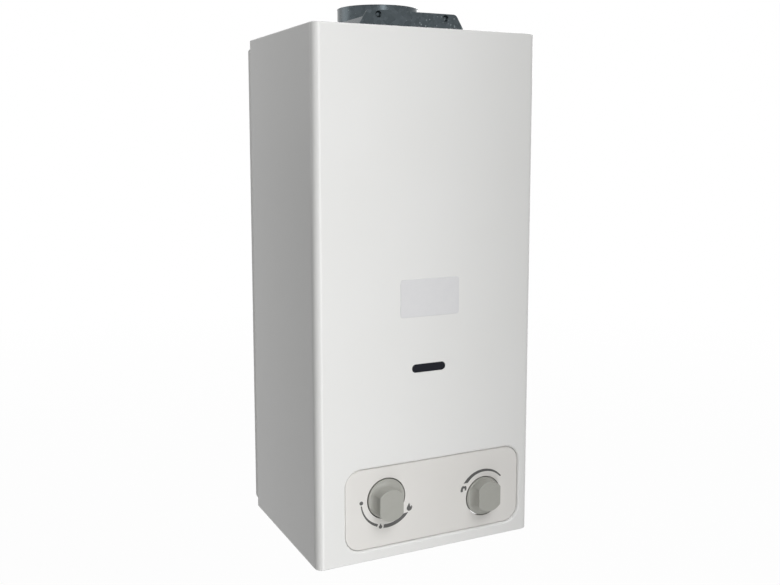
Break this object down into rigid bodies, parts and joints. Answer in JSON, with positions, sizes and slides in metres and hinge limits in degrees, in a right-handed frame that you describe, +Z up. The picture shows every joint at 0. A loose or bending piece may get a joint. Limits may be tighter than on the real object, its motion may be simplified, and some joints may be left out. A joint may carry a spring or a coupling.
{
  "type": "tankless gas water heater",
  "caption": "Wall-hung box with a flue collar on top and two turning knobs on a low panel; burns gas to heat water as it flows through.",
  "frame": {"origin": "midway between the two wall keyholes, on the wall's face of the back pan", "axes": "+Z up, +Y into the wall, +X to the right as seen from the front"},
  "size_m": [0.26, 0.2229, 0.613],
  "materials": {
    "white_paint": "gloss powder coat",
    "pan_paint": "satin powder coat",
    "white_plastic": "fine-grained moulding",
    "grey_plastic": "moulded",
    "dark_glass": "tinted",
    "galvanised": "galvanised sheet",
    "plated_steel": "zinc plated",
    "burner_steel": "stainless",
    "copper": "copper, brazed",
    "brass": "machined",
    "cast_alloy": "die cast",
    "black_plastic": "moulded",
    "rubber": "moulded",
    "ceramic": "glazed",
    "lead_sleeve": "silicone sleeve",
    "lead_grey": "vinyl sleeve",
    "cell_wrap": "plain wrap"
  },
  "bodies": {
    "casing": {"front_cover": "white_paint", "control_fascia": "white_plastic", "sight_glass": "dark_glass", "sight_clip": "plated_steel", "back_pan": "pan_paint", "draught_hood": "galvanised", "hood_front_plate": "galvanised", "draught_baffle": "galvanised", "flue_collar": "galvanised", "collar_rivets": "plated_steel", "combustion_shell": "copper", "fin_block": "copper", "return_bends": "copper", "end_elbows": "brass", "wrap_coil": "copper", "hot_pipe": "copper", "pipe_nuts": "brass", "burner_tray": "galvanised", "burner_bars": "burner_steel", "gas_manifold": "cast_alloy", "injectors": "brass", "gas_riser": "cast_alloy", "gas_valve_body": "cast_alloy", "gas_valve_cap": "cast_alloy", "return_spring": "burner_steel", "gas_solenoid": "plated_steel", "water_valve_cover": "brass", "diaphragm": "rubber", "water_valve_body": "brass", "valve_screws": "plated_steel", "valve_standoffs": "plated_steel", "drain_plug": "black_plastic", "microswitch": "black_plastic", "gas_union": "brass", "cold_union": "brass", "hot_union": "brass", "connection_bracket": "galvanised", "cover_screws": "plated_steel", "chassis_brackets": "galvanised", "battery_box": "black_plastic", "cells": "cell_wrap", "cell_contacts": "plated_steel", "ignition_controller": "black_plastic", "electrode_rods": "ceramic", "electrode_tips": "burner_steel", "electrode_holder": "plated_steel", "thermostats": "plated_steel", "hood_screws": "plated_steel", "spark_lead": "lead_sleeve", "control_leads": "lead_grey"},
    "gas_control": {"gas_knob": "grey_plastic", "gas_spindle": "brass"},
    "water_control": {"water_knob": "grey_plastic", "water_spindle": "brass"},
    "valve_stem": {"gas_stem": "burner_steel", "diaphragm_plate": "burner_steel", "switch_collar": "brass"},
    "lever": {"switch_lever": "burner_steel"},
    "lid": {"battery_lid": "grey_plastic"}
  },
  "joints": [
    {"name": "gas_knob_turn", "type": "hinge", "parent": "casing", "child": "gas_control", "pos_m": [-0.04939, -0.2084, -0.4465], "axis": [0, -1, 0], "range_deg": [-88, 60]},
    {"name": "water_knob_turn", "type": "hinge", "parent": "casing", "child": "water_control", "pos_m": [0.07171, -0.2084, -0.4642], "axis": [0, -1, 0], "range_deg": [-49, 65]},
    {"name": "valve_stem_slide", "type": "slide", "parent": "casing", "child": "valve_stem", "axis": [-1, 0, 0], "range_m": [0, 0.004], "stiffness_N_per_m": 400, "springref_m": -0.01, "deforming": ["return_spring", "diaphragm"]},
    {"name": "switch_lever_swing", "type": "hinge", "parent": "casing", "child": "lever", "pos_m": [-0.00959, -0.1136, -0.4467], "axis": [0, 1, 0], "range_deg": [0, 40]},
    {"name": "battery_lid_hinge", "type": "hinge", "parent": "casing", "child": "lid", "pos_m": [0.01116, -0.1606, -0.504], "axis": [1, 0, 0], "range_deg": [0, 100]}
  ],
  "couplings": [
    {"joint": "switch_lever_swing", "follows": "valve_stem_slide", "rad_per_m": 170}
  ]
}
